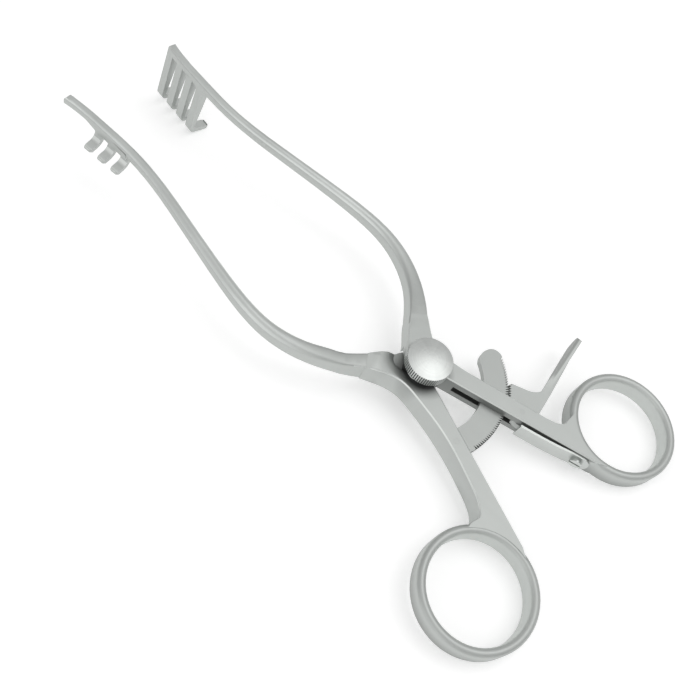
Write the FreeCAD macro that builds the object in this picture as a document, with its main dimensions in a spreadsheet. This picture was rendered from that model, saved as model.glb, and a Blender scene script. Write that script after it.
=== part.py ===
import FreeCAD, Part
import math
import os
import Sketcher

os.makedirs("parts", exist_ok=True)
Vec = FreeCAD.Vector
doc = FreeCAD.newDocument("retractor")

# Driving sizes in millimetres and degrees. Z is 0 on the flat underside of the shanks,
# the pivot axis is the Z axis, and +Y points to the tips.
sizes = {
    "thick": 7.5, "shankTurn": 18.6,
    "hubLow": 6.2, "hubTop": 5.7, "hubGap": 0.1, "lapZ": 3.75, "lapGap": 0.05, "underNear": 6.5, "underFar": 9.4,
    "dishX": 0.2, "dishY": 6.0, "dishFloor": 4.0, "dishTop": 9.0, "edgeSoft": 0.35, "flareRise": 1.2,
    "ringBore": 14.75, "ringBand": 2.75, "ringX": 36.3, "ringY": -53.1, "ringLow": 0.15, "ringSoft": 1.25,
    "shankIn": 0.5, "shankOut": 5.75, "leftIn": 0.1,
    "slotLow": 2.55, "slotTall": 2.3, "slotFrom": 10.4, "slotTo": 44.0,
    "tipX": 20.8, "tipY": 134.6, "tipTurn": 6.0, "tipRound": 1.2,
    "prongWide": 2.9, "prongPitch": 5.5, "prongTop": 2.9, "prongLow": 1.7, "prongDeep": 18.0,
    "prongLean": 2.3, "hookLen": 4.6, "hookThick": 1.5, "hookDrop": 10.0,
    "clawTip": 12.6, "clawThick": 1.5, "clawRad": 3.4, "clawEnd": 1.8,
    "arcIn": 19.7, "arcOut": 27.6, "plateGap": 0.1, "toothDeep": 0.6, "toothStep": 1.6666667,
    "toothCount": 44, "arcTo": 68.0, "arcRoot": -27.2, "toothFrom": -11.5,
    "rivetRad": 1.0, "rivetAlong": 23.6, "rivetOff": 2.6,
    "pinRad": 0.9, "pinAlong": 31.5, "pinOff": 3.3,
    "pawlGap": 0.12, "padTall": 7.0, "padThin": 1.6,
    "springTall": 5.8, "springThick": 0.7, "springFree": 19.7, "springTail": 3.8, "springBow": 1.6, "springSeat": 2.1,
    "screwAlong": 52.7, "screwHead": 1.9, "screwHigh": 1.0, "screwRad": 1.0, "screwDeep": 2.6,
    "stemRad": 2.5, "runGap": 0.05, "collarRad": 4.6, "collarTall": 1.8,
    "knobRad": 7.0, "knobTall": 4.3, "knobDome": 0.95, "knobSoft": 0.15,
}
sheet = doc.addObject("Spreadsheet::Sheet", "dims")
for row, (name, value) in enumerate(sizes.items(), start=1):
    sheet.set("A%d" % row, name)
    sheet.set("B%d" % row, str(value))
    sheet.setAlias("B%d" % row, name)
doc.recompute()


def size(name):
    return float(sheet.get(name))


def bind(obj, prop, formula):
    obj.setExpression(prop, formula)


# Bowed blade, from the hub to the tip: distance out, distance forward, width, height,
# and how round the top is as a share of the width.
blade = [
    (7.2, 7.2, 6.4, 7.1, 0.08),
    (11.95, 13.0, 5.66, 7.42, 0.08),
    (19.0, 20.4, 4.8, 6.4, 0.24),
    (24.0, 29.2, 4.4, 5.6, 0.36),
    (26.5, 38.6, 4.2, 5.1, 0.44),
    (26.7, 47.0, 4.0, 4.8, 0.46),
    (25.6, 57.0, 3.8, 4.4, 0.46),
    (23.6, 69.0, 3.5, 4.1, 0.46),
    (21.4, 81.0, 3.35, 3.9, 0.46),
    (19.4, 93.0, 3.2, 3.7, 0.46),
    (18.4, 106.0, 3.05, 3.6, 0.46),
    (18.9, 118.5, 2.95, 3.5, 0.46),
]


def originPlane(body, role):
    return [f for f in body.Origin.OriginFeatures if f.Role == role][0]


def newSketch(body, name, role="XY_Plane", place=None):
    sketch = body.newObject("Sketcher::SketchObject", name)
    sketch.AttachmentSupport = [(originPlane(body, role), "")]
    sketch.MapMode = "FlatFace"
    if place is not None:
        sketch.AttachmentOffset = place
    return sketch


def flat(z, turn=0.0, x=0.0, y=0.0):
    return FreeCAD.Placement(Vec(x, y, z), FreeCAD.Rotation(Vec(0, 0, 1), turn))


def upright(x, y, turn, z=0.0):
    # On the XZ plane: sketch x runs level along the turned direction, sketch y runs up.
    return FreeCAD.Placement(Vec(x, z, -y), FreeCAD.Rotation(Vec(0, 1, 0), turn))


def outline(sketch, items):
    # Lines, three-point arcs and smooth curves through more points, joined into one closed loop.
    ends = []
    for item in items:
        points = [Vec(p[0], p[1], 0) for p in item]
        if len(points) == 2:
            index = sketch.addGeometry(Part.LineSegment(points[0], points[1]), False)
            ends.append((index, 1, 2))
        elif len(points) > 3:
            curve = Part.BSplineCurve()
            curve.interpolate(points)
            index = sketch.addGeometry(curve, False)
            ends.append((index, 1, 2))
        else:
            index = sketch.addGeometry(Part.Arc(points[0], points[1], points[2]), False)
            leftTurn = (points[1] - points[0]).cross(points[2] - points[1]).z > 0
            ends.append((index, 1, 2) if leftTurn else (index, 2, 1))
    for here, there in zip(ends, ends[1:] + ends[:1]):
        sketch.addConstraint(Sketcher.Constraint("Coincident", here[0], here[2], there[0], there[1]))


def corners(sketch, points):
    outline(sketch, [(a, b) for a, b in zip(points, points[1:] + points[:1])])


def disc(sketch, radiusName, x=0.0, y=0.0, extra=0.0):
    circle = Part.Circle(Vec(x, y, 0), Vec(0, 0, 1), size(radiusName) + extra)
    index = sketch.addGeometry(circle, False)
    if x == 0.0 and y == 0.0:
        sketch.addConstraint(Sketcher.Constraint("Coincident", index, 3, -1, 1))
    row = sketch.addConstraint(Sketcher.Constraint("Radius", index, size(radiusName) + extra))
    bind(sketch, "Constraints[%d]" % row, "<<dims>>.%s + %g" % (radiusName, extra))


def rounding(x, y, radius, start, steps):
    # Points of a quarter round about x, y, turning left from the start angle in flats.
    points = []
    for step in range(steps + 1):
        angle = math.radians(start + 90.0 * step / steps)
        points.append((x + radius * math.cos(angle), y + radius * math.sin(angle)))
    return points


def roundedBox(sketch, width, height, middle, top, bottom):
    # Upright section, with rounder corners above than below.
    halfWide = width / 2.0
    low = middle - height / 2.0
    high = middle + height / 2.0
    points = rounding(halfWide - bottom, low + bottom, bottom, -90, 1)
    points += rounding(halfWide - top, high - top, top, 0, 3)
    points += rounding(-halfWide + top, high - top, top, 90, 3)
    points += rounding(-halfWide + bottom, low + bottom, bottom, 180, 1)
    corners(sketch, points)


def pad(body, name, sketch, formula, back=False):
    feature = body.newObject("PartDesign::Pad", name)
    feature.Profile = sketch
    bind(feature, "Length", formula)
    feature.Reversed = back
    return feature


def pocket(body, name, sketch, formula, back=False):
    feature = body.newObject("PartDesign::Pocket", name)
    feature.Profile = sketch
    bind(feature, "Length", formula)
    feature.Reversed = back
    return feature


def turned(body, name, sketch, kind="Revolution"):
    feature = body.newObject("PartDesign::" + kind, name)
    feature.Profile = sketch
    feature.ReferenceAxis = (sketch, ["V_Axis"])
    feature.Angle = 360.0
    return feature


def softened(body, name, base, amount, wanted, flatCut=False):
    doc.recompute()
    picked = []
    for number, edge in enumerate(base.Shape.Edges, start=1):
        if wanted(edge):
            picked.append("Edge%d" % number)
    if flatCut:
        feature = body.newObject("PartDesign::Chamfer", name)
        bind(feature, "Size", amount)
    else:
        feature = body.newObject("PartDesign::Fillet", name)
        bind(feature, "Radius", amount)
    feature.Base = (base, picked)
    return feature


def levelEdge(edge, heights):
    box = edge.BoundBox
    return box.ZLength < 1e-6 and any(abs(box.ZMin - z) < 1e-6 for z in heights)


def shankPoint(off, along, side=1):
    turn = math.radians(size("shankTurn"))
    x = off * math.cos(turn) + along * math.sin(turn)
    y = off * math.sin(turn) - along * math.cos(turn)
    return (side * x, y)


def polar(radius, degrees, x=0.0, y=0.0):
    # Angle from -Y towards +X.
    return (x + radius * math.sin(math.radians(degrees)), y - radius * math.cos(math.radians(degrees)))


def ringPoint(radius, degrees, side):
    px, py = polar(radius, degrees, size("ringX"), size("ringY"))
    return (side * px, py)


def shifted(points, amounts):
    # Points of the outer edge moved square to it, outwards where the amount is positive.
    moved = []
    for number, (px, py) in enumerate(points):
        before = points[max(number - 1, 0)]
        after = points[min(number + 1, len(points) - 1)]
        run = (after[0] - before[0], after[1] - before[1])
        long = math.hypot(run[0], run[1])
        moved.append((px - amounts[number] * run[1] / long, py + amounts[number] * run[0] / long))
    return moved


def armLoop(side, outer, inner, inOff, hub):
    # Closed outline of hub, shank and band of the ring; side is +1 for the right arm.
    far = [(side * px, py) for px, py in outer]
    near = [(side * px, py) for px, py in inner]
    bandMid = size("ringBore") + size("ringBand") * 0.55
    bandStart = ringPoint(bandMid, -143, side)
    bandEnd = ringPoint(bandMid, -75.4, side)
    innerFar = shankPoint(inOff, size("slotTo") + 13.5, side)
    innerNear = shankPoint(inOff, math.sqrt(hub ** 2 - inOff ** 2), side)
    hubEnd = polar(hub, 200)
    hubMid = polar(hub, 260)
    hubStop = (side * hubEnd[0], hubEnd[1])
    return [
        (near[-1], far[0]),
        tuple(far),
        (far[-1], bandStart),
        (bandStart, ringPoint(bandMid, -110, side), bandEnd),
        (bandEnd, innerFar),
        (innerFar, innerNear),
        (innerNear, (side * hubMid[0], hubMid[1]), hubStop),
        (hubStop,) + tuple(near),
    ]


def buildArm(name, items):
    body = doc.addObject("PartDesign::Body", name)
    body.Label = name
    sketch = newSketch(body, name + "Plan")
    outline(sketch, items)
    slab = pad(body, name + "Slab", sketch, "<<dims>>.thick")

    def longEdge(edge):
        box = edge.BoundBox
        rootLine = box.YMin > 9.0 and box.YLength < 5.0
        return levelEdge(edge, (0.0, size("thick"))) and edge.Length > 7.0 and not rootLine and box.YMin > -57.0

    softened(body, name + "SlabEdge", slab, "<<dims>>.edgeSoft", longEdge, flatCut=True)
    return body


def buildFlaredArm(name, levels):
    # Straight walls between outlines at several heights.
    body = doc.addObject("PartDesign::Body", name)
    body.Label = name
    sketches = []
    for number, (height, items) in enumerate(levels):
        sketch = newSketch(body, "%sPlan%d" % (name, number), "XY_Plane", flat(height))
        outline(sketch, items)
        sketches.append(sketch)
    slab = body.newObject("PartDesign::AdditiveLoft", name + "Slab")
    slab.Profile = sketches[0]
    slab.Sections = sketches[1:]
    slab.Ruled = True
    return body


def addRing(body, name, side):
    sketch = newSketch(body, name + "RingSection", "XZ_Plane", upright(side * size("ringX"), size("ringY"), 0))
    bore = size("ringBore")
    band = size("ringBand")
    low = size("ringLow")
    high = size("thick") - low
    soft = size("ringSoft")
    points = rounding(bore + band - soft, low + soft, soft, -90, 3)
    points += rounding(bore + band - soft, high - soft, soft, 0, 3)
    points += rounding(bore + soft, high - soft, soft, 90, 3)
    points += rounding(bore + soft, low + soft, soft, 180, 3)
    corners(sketch, points)
    turned(body, name + "Ring", sketch)


def addBlade(body, name, side):
    sections = []
    middle = size("thick") / 2.0
    stations = list(blade)
    tipTurn = math.radians(size("tipTurn"))
    stations.append((size("tipX"), size("tipY"), 2.8, 3.3, 0.46))
    count = len(stations)
    for number, (x, y, width, height, crown) in enumerate(stations):
        before = stations[max(number - 1, 0)]
        after = stations[min(number + 1, count - 1)]
        heading = math.atan2(after[0] - before[0], after[1] - before[1])
        if number == count - 1:
            heading = tipTurn
        turn = -math.degrees(heading) * side
        sketch = newSketch(body, "%sBar%02d" % (name, number), "XZ_Plane", upright(side * x, y, turn))
        roundedBox(sketch, width, height, middle, crown * width, min(crown, 0.22) * width)
        sections.append(sketch)
    loft = body.newObject("PartDesign::AdditiveLoft", name + "Bar")
    loft.Profile = sections[0]
    loft.Sections = sections[1:]
    loft.Ruled = False
    loft.Closed = False


def tipFrame(side, back):
    # Point on the middle line of the blade's straight end, a distance back from the tip.
    turn = math.radians(size("tipTurn"))
    x = size("tipX") - back * math.sin(turn)
    y = size("tipY") - back * math.cos(turn)
    return side * x, y


def roundTip(body, name, side):
    # Rounds the upper corner of the blade's end, seen from the side.
    x, y = tipFrame(side, 0)
    turn = 90 - size("tipTurn") * side
    sketch = newSketch(body, name + "TipSide", "XZ_Plane", upright(x, y, turn))
    cut = size("tipRound")
    high = (size("thick") + 3.3) / 2.0
    bend = cut * (1 - math.sqrt(0.5))
    outline(sketch, [
        ((-cut - 0.02, high + 0.01), (-cut - 0.02, high + 2)),
        ((-cut - 0.02, high + 2), (2, high + 2)),
        ((2, high + 2), (2, high - cut)),
        ((2, high - cut), (0, high - cut)),
        ((0, high - cut), (-bend, high - bend), (-cut - 0.02, high + 0.01)),
    ])
    corner = pocket(body, name + "TipRound", sketch, "<<dims>>.padTall * 2")
    corner.Midplane = True


def addProngs(body, name):
    # Right blade: four deep prongs with level hooks turned outwards.
    x, y = tipFrame(1, 0)
    sketch = newSketch(body, name + "ProngSection", "XZ_Plane", upright(x, y, -size("tipTurn")))
    top = size("thick") / 2.0
    deep = size("prongDeep")
    lean = size("prongLean")
    halfTop = size("prongTop") / 2.0
    low = size("prongLow")
    drop = math.radians(size("hookDrop"))
    hook = size("hookLen")
    thin = size("hookThick")
    inner = (-halfTop - lean, top - deep)
    bottom = (inner[0] + 2.2, inner[1] - 2.6)
    bow = (inner[0] + 0.55, inner[1] - 1.85)
    out = (math.cos(drop), -math.sin(drop))
    up = (math.sin(drop), math.cos(drop))
    endLow = (bottom[0] + hook * out[0], bottom[1] + hook * out[1])
    endHigh = (endLow[0] + thin * up[0], endLow[1] + thin * up[1])
    nose = (endLow[0] + thin * (0.5 * up[0] + 0.35 * out[0]), endLow[1] + thin * (0.5 * up[1] + 0.35 * out[1]))
    throat = (inner[0] + low + 0.9, inner[1] - 2.6 + thin + 0.15)
    elbow = (inner[0] + low, inner[1] + 0.6)
    curl = (inner[0] + low + 0.22, inner[1] - 0.55)
    outline(sketch, [
        ((-halfTop, top), inner),
        (inner, bow, bottom),
        (bottom, endLow),
        (endLow, nose, endHigh),
        (endHigh, throat),
        (throat, curl, elbow),
        (elbow, (halfTop, top - 2.6)),
        ((halfTop, top - 2.6), (halfTop, top)),
        ((halfTop, top), (-halfTop, top)),
    ])
    first = pad(body, name + "Prong", sketch, "<<dims>>.prongWide")
    row = body.newObject("PartDesign::LinearPattern", name + "Prongs")
    row.Originals = [first]
    row.Direction = (sketch, ["N_Axis"])
    bind(row, "Length", "<<dims>>.prongPitch * 3")
    row.Occurrences = 4
    body.Tip = row
    webSketch = newSketch(body, name + "WebPlan", "XZ_Plane", upright(x, y, -size("tipTurn")))
    corners(webSketch, [(-halfTop - 0.12, 2.1), (-halfTop, top), (halfTop, top), (halfTop, 2.1)])
    pad(body, name + "Web", webSketch, "<<dims>>.prongPitch * 3 + <<dims>>.prongWide")
    roundTip(body, name, 1)


def addClaws(body, name):
    # Left blade: three short claws curled outwards, and a shallow web that deepens towards them.
    thin = size("clawThick")
    rad = size("clawRad")
    back = size("clawTip") + 2 * size("prongPitch") + size("prongWide")
    x, y = tipFrame(-1, back)
    turn = 180 + size("tipTurn")
    sketch = newSketch(body, name + "ClawSection", "XZ_Plane", upright(x, y, turn))
    top = size("thick") / 2.0
    bendLow = 0.9
    centre = (rad + 0.1, bendLow)
    sweep = math.radians(78)
    mid = sweep / 2.0

    def around(radius, angle):
        return (centre[0] - radius * math.cos(angle), centre[1] - radius * math.sin(angle))

    outerR = rad + thin / 2.0
    innerR = rad - thin / 2.0
    ahead = (math.sin(sweep), -math.cos(sweep))
    outerEnd = around(outerR, sweep)
    innerEnd = around(innerR, sweep)
    run = size("clawEnd")
    tipOut = (outerEnd[0] + run * ahead[0], outerEnd[1] + run * ahead[1])
    tipIn = (innerEnd[0] + run * ahead[0], innerEnd[1] + run * ahead[1])
    nose = ((tipOut[0] + tipIn[0]) / 2 + 0.5 * ahead[0], (tipOut[1] + tipIn[1]) / 2 + 0.5 * ahead[1])
    outline(sketch, [
        ((centre[0] - outerR, top), around(outerR, 0)),
        (around(outerR, 0), around(outerR, mid), outerEnd),
        (outerEnd, tipOut),
        (tipOut, nose, tipIn),
        (tipIn, innerEnd),
        (innerEnd, around(innerR, mid), around(innerR, 0)),
        (around(innerR, 0), (centre[0] - innerR, top)),
        ((centre[0] - innerR, top), (centre[0] - outerR, top)),
    ])
    first = pad(body, name + "Claw", sketch, "<<dims>>.prongWide")
    row = body.newObject("PartDesign::LinearPattern", name + "Claws")
    row.Originals = [first]
    row.Direction = (sketch, ["N_Axis"])
    bind(row, "Length", "<<dims>>.prongPitch * 2")
    row.Occurrences = 3
    body.Tip = row
    web = newSketch(body, name + "WebSide", "YZ_Plane",
                    FreeCAD.Placement(Vec(0, 0, 0), FreeCAD.Rotation(Vec(0, 1, 0), 0)))
    far = tipFrame(-1, 0.4)[1]
    near = tipFrame(-1, back)[1]
    edge = tipFrame(-1, size("clawTip"))[1]
    corners(web, [(near, top), (near, 1.5), (edge, 1.0), (far, 2.6), (far, top)])
    shift = tipFrame(-1, back / 2.0)[0]
    web.AttachmentOffset = FreeCAD.Placement(Vec(0, 0, shift), FreeCAD.Rotation(Vec(0, 0, 1), 0))
    wall = body.newObject("PartDesign::Pad", name + "Web")
    wall.Profile = web
    bind(wall, "Length", "<<dims>>.clawThick")
    wall.Midplane = True
    roundTip(body, name, -1)


# Left arm: shank with the ratchet plate let into it, lower half of the lap joint. Its outer
# wall stands out further below than above.
leftOuter = [(14.13, 11.14), (11.83, 7.61), (10.0, 4.4), (8.93, 0.5), (9.2, -5.2), (10.69, -15.15),
             (13.15, -24.01), (16.02, -31.53), (18.64, -37.19), (20.16, -39.23), (21.58, -40.22),
             (23.21, -40.35), (25.0, -40.0)]
leftFlare = [0.1, 0.9, 1.2, 1.2, 1.1, 1.25, 1.15, 0.95, 0.7, 0.4, 0.15, 0, 0]
leftInner = [(-0.5, 8.3), (2.6, 10.4), (6.5, 12.95), (9.77, 14.86)]
rightOuter = [(14.13, 11.14), (12.59, 9.04), (9.75, 5.27), (8.1, 0.6), (8.5, -4.8), shankPoint(6.1, 12.0),
              shankPoint(6.0, 20.0), shankPoint(5.85, 41.0), shankPoint(6.15, 43.0), shankPoint(7.95, 45.1)]
rightInner = [(0.76, 8.0), (3.94, 10.14), (6.59, 12.45), (9.77, 14.86)]
hubLow = size("hubLow")
leftIn = size("leftIn")
edgeSoft = size("edgeSoft")
lowShift = [0.3 * amount for amount in leftFlare]
topShift = [0.0] + [-edgeSoft] * (len(leftOuter) - 3) + [0.0, 0.0]
lowEdge = shifted(leftOuter, lowShift)
wideEdge = shifted(leftOuter, leftFlare)
topEdge = shifted(leftOuter, topShift)
left = buildFlaredArm("left_arm", [
    (0.0, armLoop(-1, lowEdge, leftInner, leftIn + edgeSoft, hubLow)),
    (size("flareRise"), armLoop(-1, wideEdge, leftInner, leftIn, hubLow)),
    (size("thick") - edgeSoft, armLoop(-1, leftOuter, leftInner, leftIn, hubLow)),
    (size("thick"), armLoop(-1, topEdge, leftInner, leftIn + edgeSoft, hubLow)),
])
addRing(left, "left", -1)
addBlade(left, "left", -1)
addClaws(left, "left")
lapTop = size("lapZ") - size("lapGap")
topNear = size("hubTop") + size("hubGap")
topFar = hubLow + 0.8
# A dished shoulder lets the root of the right blade sweep past.
dishCuts = []
dishFloor = size("dishFloor")
dishWide = size("dishTop") - dishFloor
for number, (share, height) in enumerate([(0, 0.01), (0.22, 0.45), (0.55, 0.83), (1, 1.01)]):
    level = lapTop + height * (size("thick") - lapTop)
    cut = newSketch(left, "leftDish%d" % number, "XY_Plane", flat(level, 0, -size("dishX"), size("dishY")))
    disc(cut, "dishFloor", extra=share * dishWide)
    dishCuts.append(cut)
dish = left.newObject("PartDesign::SubtractiveLoft", "leftDishCut")
dish.Profile = dishCuts[0]
dish.Sections = dishCuts[1:]
dish.Ruled = True
lap = newSketch(left, "leftLap", "XY_Plane", flat(lapTop))
outline(lap, [
    (polar(topNear, 200), polar(topNear, 270), polar(topNear, 343)),
    (polar(topNear, 343), polar(topFar, 343)),
    (polar(topFar, 343), polar(topFar, 90), polar(topFar, 200)),
    (polar(topFar, 200), polar(topNear, 200)),
])
pocket(left, "leftLapCut", lap, "<<dims>>.thick", back=True)
stem = newSketch(left, "leftStem")
disc(stem, "stemRad", extra=size("runGap"))
pocket(left, "leftStemBore", stem, "<<dims>>.thick", back=True)
plateLow = size("slotLow") + size("plateGap")
plateTall = size("slotTall") - 2 * size("plateGap")
mortise = newSketch(left, "leftMortise", "XY_Plane", flat(plateLow + plateTall + 0.02))
rootAngle = size("arcRoot") - 0.1
outlineMortise = [
    (polar(size("arcIn") - 0.02, rootAngle), polar(size("arcOut") + 0.02, rootAngle)),
    (polar(size("arcOut") + 0.02, rootAngle), polar(size("arcOut") + 0.02, -24), polar(size("arcOut") + 0.02, -13)),
    (polar(size("arcOut") + 0.02, -13), polar(size("arcIn") - 0.02, -13)),
    (polar(size("arcIn") - 0.02, -13), polar(size("arcIn") - 0.02, -24), polar(size("arcIn") - 0.02, rootAngle)),
]
outline(mortise, outlineMortise)
pocket(left, "leftMortiseCut", mortise, "<<dims>>.slotTall - 2 * <<dims>>.plateGap + 0.04")
rivetX, rivetY = shankPoint(size("rivetOff"), size("rivetAlong"), -1)
hole = newSketch(left, "leftRivetHole", "XY_Plane", flat(0, 0, rivetX, rivetY))
disc(hole, "rivetRad", extra=0.01)
pocket(left, "leftRivetBore", hole, "<<dims>>.thick", back=True)

# Ratchet plate: a toothed arc about the pivot.
arc = doc.addObject("PartDesign::Body", "ratchet_arc")
arc.Label = "ratchet_arc"
plan = newSketch(arc, "arcPlan", "XY_Plane", flat(plateLow))
arcIn = size("arcIn")
arcOut = size("arcOut")
arcTo = size("arcTo")
arcRoot = size("arcRoot")
mean = (arcIn + arcOut) / 2.0
outline(plan, [
    (polar(arcIn, arcRoot), polar(arcOut, arcRoot)),
    (polar(arcOut, arcRoot), polar(arcOut, 15), polar(arcOut, arcTo - 6)),
    (polar(arcOut, arcTo - 6), polar(arcOut - 0.9, arcTo - 1.2), polar(mean, arcTo + 1.2)),
    (polar(mean, arcTo + 1.2), polar(arcIn + 1.15, arcTo - 1.6), polar(arcIn, arcTo - 7)),
    (polar(arcIn, arcTo - 7), polar(arcIn, 15), polar(arcIn, arcRoot)),
])
pad(arc, "arcPlate", plan, "<<dims>>.slotTall - 2 * <<dims>>.plateGap")
tooth = newSketch(arc, "toothGap", "XY_Plane", flat(plateLow - 0.5))
gapFrom = size("toothFrom")
step = size("toothStep")
corners(tooth, [polar(arcOut + 0.4, gapFrom - 0.15 * step), polar(arcOut - size("toothDeep"), gapFrom),
                polar(arcOut + 0.4, gapFrom + 1.15 * step)])
gap = pocket(arc, "toothCut", tooth, "<<dims>>.slotTall + 1", back=True)
around = arc.newObject("PartDesign::PolarPattern", "toothRow")
around.Originals = [gap]
around.Axis = (tooth, ["N_Axis"])
around.Angle = size("toothStep") * (size("toothCount") - 1)
around.Occurrences = int(size("toothCount"))
arc.Tip = around
hole = newSketch(arc, "arcRivetHole", "XY_Plane", flat(0, 0, rivetX, rivetY))
disc(hole, "rivetRad", extra=0.01)
pocket(arc, "arcRivetBore", hole, "<<dims>>.thick", back=True)


def peg(name, radiusName, x, y, low, formula):
    body = doc.addObject("PartDesign::Body", name)
    body.Label = name
    sketch = newSketch(body, name + "Round", "XY_Plane", flat(low, 0, x, y))
    disc(sketch, radiusName)
    pad(body, name + "Length", sketch, formula)
    return body


rivet = peg("ratchet_rivet", "rivetRad", rivetX, rivetY, 0.0, "<<dims>>.thick")

# Right arm: slim slotted shank, upper half of the lap joint.
right = buildArm("right_arm", armLoop(1, rightOuter, rightInner, size("shankIn"), size("hubTop")))
addRing(right, "right", 1)
addBlade(right, "right", 1)
addProngs(right, "right")
lap = newSketch(right, "rightLap", "XY_Plane", flat(0))
lowNear = size("underNear")
lowFar = size("underFar")
outline(lap, [
    (polar(lowNear, 100), polar(lowNear, 0), polar(lowNear, 260)),
    (polar(lowNear, 260), polar(lowFar, 260)),
    (polar(lowFar, 260), polar(lowFar, 180), polar(lowFar, 100)),
    (polar(lowFar, 100), polar(lowNear, 100)),
])
pocket(right, "rightLapCut", lap, "<<dims>>.lapZ + <<dims>>.lapGap", back=True)
stem = newSketch(right, "rightStem")
disc(stem, "stemRad", extra=size("runGap"))
pocket(right, "rightStemBore", stem, "<<dims>>.thick", back=True)
turn = size("shankTurn")
slot = newSketch(right, "rightSlot", "XY_Plane", flat(size("slotLow"), turn))
corners(slot, [(-3, -size("slotFrom")), (11, -size("slotFrom")), (11, -size("slotTo")), (-3, -size("slotTo"))])
pocket(right, "rightSlotCut", slot, "<<dims>>.slotTall", back=True)
pinX, pinY = shankPoint(size("pinOff"), size("pinAlong"))
hole = newSketch(right, "rightPinHole", "XY_Plane", flat(0, 0, pinX, pinY))
disc(hole, "pinRad", extra=0.01)
pocket(right, "rightPinBore", hole, "<<dims>>.thick", back=True)
# Level bore for the spring screw, square to the inner side of the shank.
screwX, screwY = shankPoint(size("shankIn"), size("screwAlong"))
face = upright(screwX, screwY, turn + 90, size("thick") / 2.0)
hole = newSketch(right, "rightScrewHole", "XZ_Plane", face)
disc(hole, "screwRad", extra=0.01)
rightScrew = pocket(right, "rightScrewBore", hole, "<<dims>>.screwDeep")
rightScrew.Midplane = True
bind(rightScrew, "Length", "<<dims>>.screwDeep * 2")

pin = peg("lever_pin", "pinRad", pinX, pinY, 0.0, "<<dims>>.thick")

# Release lever: pawl with teeth, pivot hole, heel under the spring and an upright thumb pad.
lever = doc.addObject("PartDesign::Body", "release_lever")
lever.Label = "release_lever"
plan = newSketch(lever, "leverPlan", "XY_Plane", flat(plateLow))
tips = arcOut + size("pawlGap")
pawlFrom = 33.6
teeth = 5
zigzag = []
for number in range(teeth):
    angle = pawlFrom + step * number
    zigzag.append(polar(tips, angle))
    zigzag.append(polar(tips + size("toothDeep") * 0.9, angle + 0.9 * step))
zigzag.append(polar(tips, pawlFrom + step * teeth))
crown = polar(tips + 1.0, pawlFrom + step * teeth + 1.3)
heelHigh = shankPoint(0.8, 30.2)
heelSeat = size("springThick") - size("springBow")
heelNose = shankPoint(heelSeat + 0.1, 34.0)
heelLow = shankPoint(heelSeat + 0.25, 34.6)
outline(plan, [(a, b) for a, b in zip(zigzag, zigzag[1:])] + [
    (zigzag[-1], polar(tips + 0.4, pawlFrom + step * teeth + 0.9), (crown[0] + 0.3, crown[1] - 0.5)),
    ((crown[0] + 0.3, crown[1] - 0.5), (22.2, -25.9)),
    ((22.2, -25.9), (24.0, -27.9), (27.0, -29.05)),
    ((27.0, -29.05), (33.0, -28.75)),
    ((33.0, -28.75), (35.0, -29.95)),
    ((35.0, -29.95), (27.3, -31.3)),
    ((27.3, -31.3), (19.1, -32.85)),
    ((19.1, -32.85), heelLow),
    (heelLow, heelNose),
    (heelNose, heelHigh),
    (heelHigh, zigzag[0]),
])
pad(lever, "leverPlate", plan, "<<dims>>.slotTall - 2 * <<dims>>.plateGap")
hole = newSketch(lever, "leverHole", "XY_Plane", flat(0, 0, pinX, pinY))
disc(hole, "pinRad", extra=size("runGap"))
pocket(lever, "leverBore", hole, "<<dims>>.thick", back=True)
# The thumb pad grows taller towards its tip; it is drawn from the side and padded across.
padTurn = 9.6
padStart = (26.0, -29.7)
padSketch = newSketch(lever, "leverPadSide", "XZ_Plane", upright(padStart[0], padStart[1], padTurn))
centreZ = plateLow + plateTall / 2.0
tall = size("padTall")
outline(padSketch, [
    ((-1.0, centreZ - plateTall / 2), (6.0, centreZ - plateTall / 2 - 0.6)),
    ((6.0, centreZ - plateTall / 2 - 0.6), (15.0, centreZ - tall * 0.42), (22.6, centreZ - tall * 0.5)),
    ((22.6, centreZ - tall * 0.5), (24.6, centreZ), (22.6, centreZ + tall * 0.5)),
    ((22.6, centreZ + tall * 0.5), (15.0, centreZ + tall * 0.42), (6.0, centreZ + plateTall / 2 + 0.6)),
    ((6.0, centreZ + plateTall / 2 + 0.6), (-1.0, centreZ + plateTall / 2)),
    ((-1.0, centreZ + plateTall / 2), (-1.0, centreZ - plateTall / 2)),
])
thumb = pad(lever, "leverPad", padSketch, "<<dims>>.padThin")
thumb.Midplane = True

# Leaf spring: a strip bowed off the inner side of the shank, pressing on the heel.
spring = doc.addObject("PartDesign::Body", "leaf_spring")
spring.Label = "leaf_spring"
springLow = (size("thick") - size("springTall")) / 2.0
plan = newSketch(spring, "springPlan", "XY_Plane", flat(springLow, turn))
bow = size("springBow")
strip = size("springThick")
seat = size("shankIn") - 0.02
screwOn = size("screwAlong")
freeEnd = screwOn - size("springFree")
tail = screwOn + size("springTail")
bend = screwOn - size("springSeat")
middle = screwOn - 0.49 * size("springFree")
outline(plan, [
    ((-bow + strip, -freeEnd), (-bow * 0.86 + strip, -middle), (seat, -bend)),
    ((seat, -bend), (seat, -tail)),
    ((seat, -tail), (seat - strip, -tail)),
    ((seat - strip, -tail), (seat - strip, -bend - 0.3)),
    ((seat - strip, -bend - 0.3), (-bow * 0.86, -middle - 0.2), (-bow, -freeEnd)),
    ((-bow, -freeEnd), (-bow + strip, -freeEnd)),
])
strap = pad(spring, "springStrip", plan, "<<dims>>.springTall")


def endCorner(edge):
    middle = edge.valueAt((edge.FirstParameter + edge.LastParameter) / 2.0)
    far = shankPoint(seat - strip / 2.0, tail)
    return edge.BoundBox.ZLength < 1e-6 and math.hypot(middle.x - far[0], middle.y - far[1]) < 0.05


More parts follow.
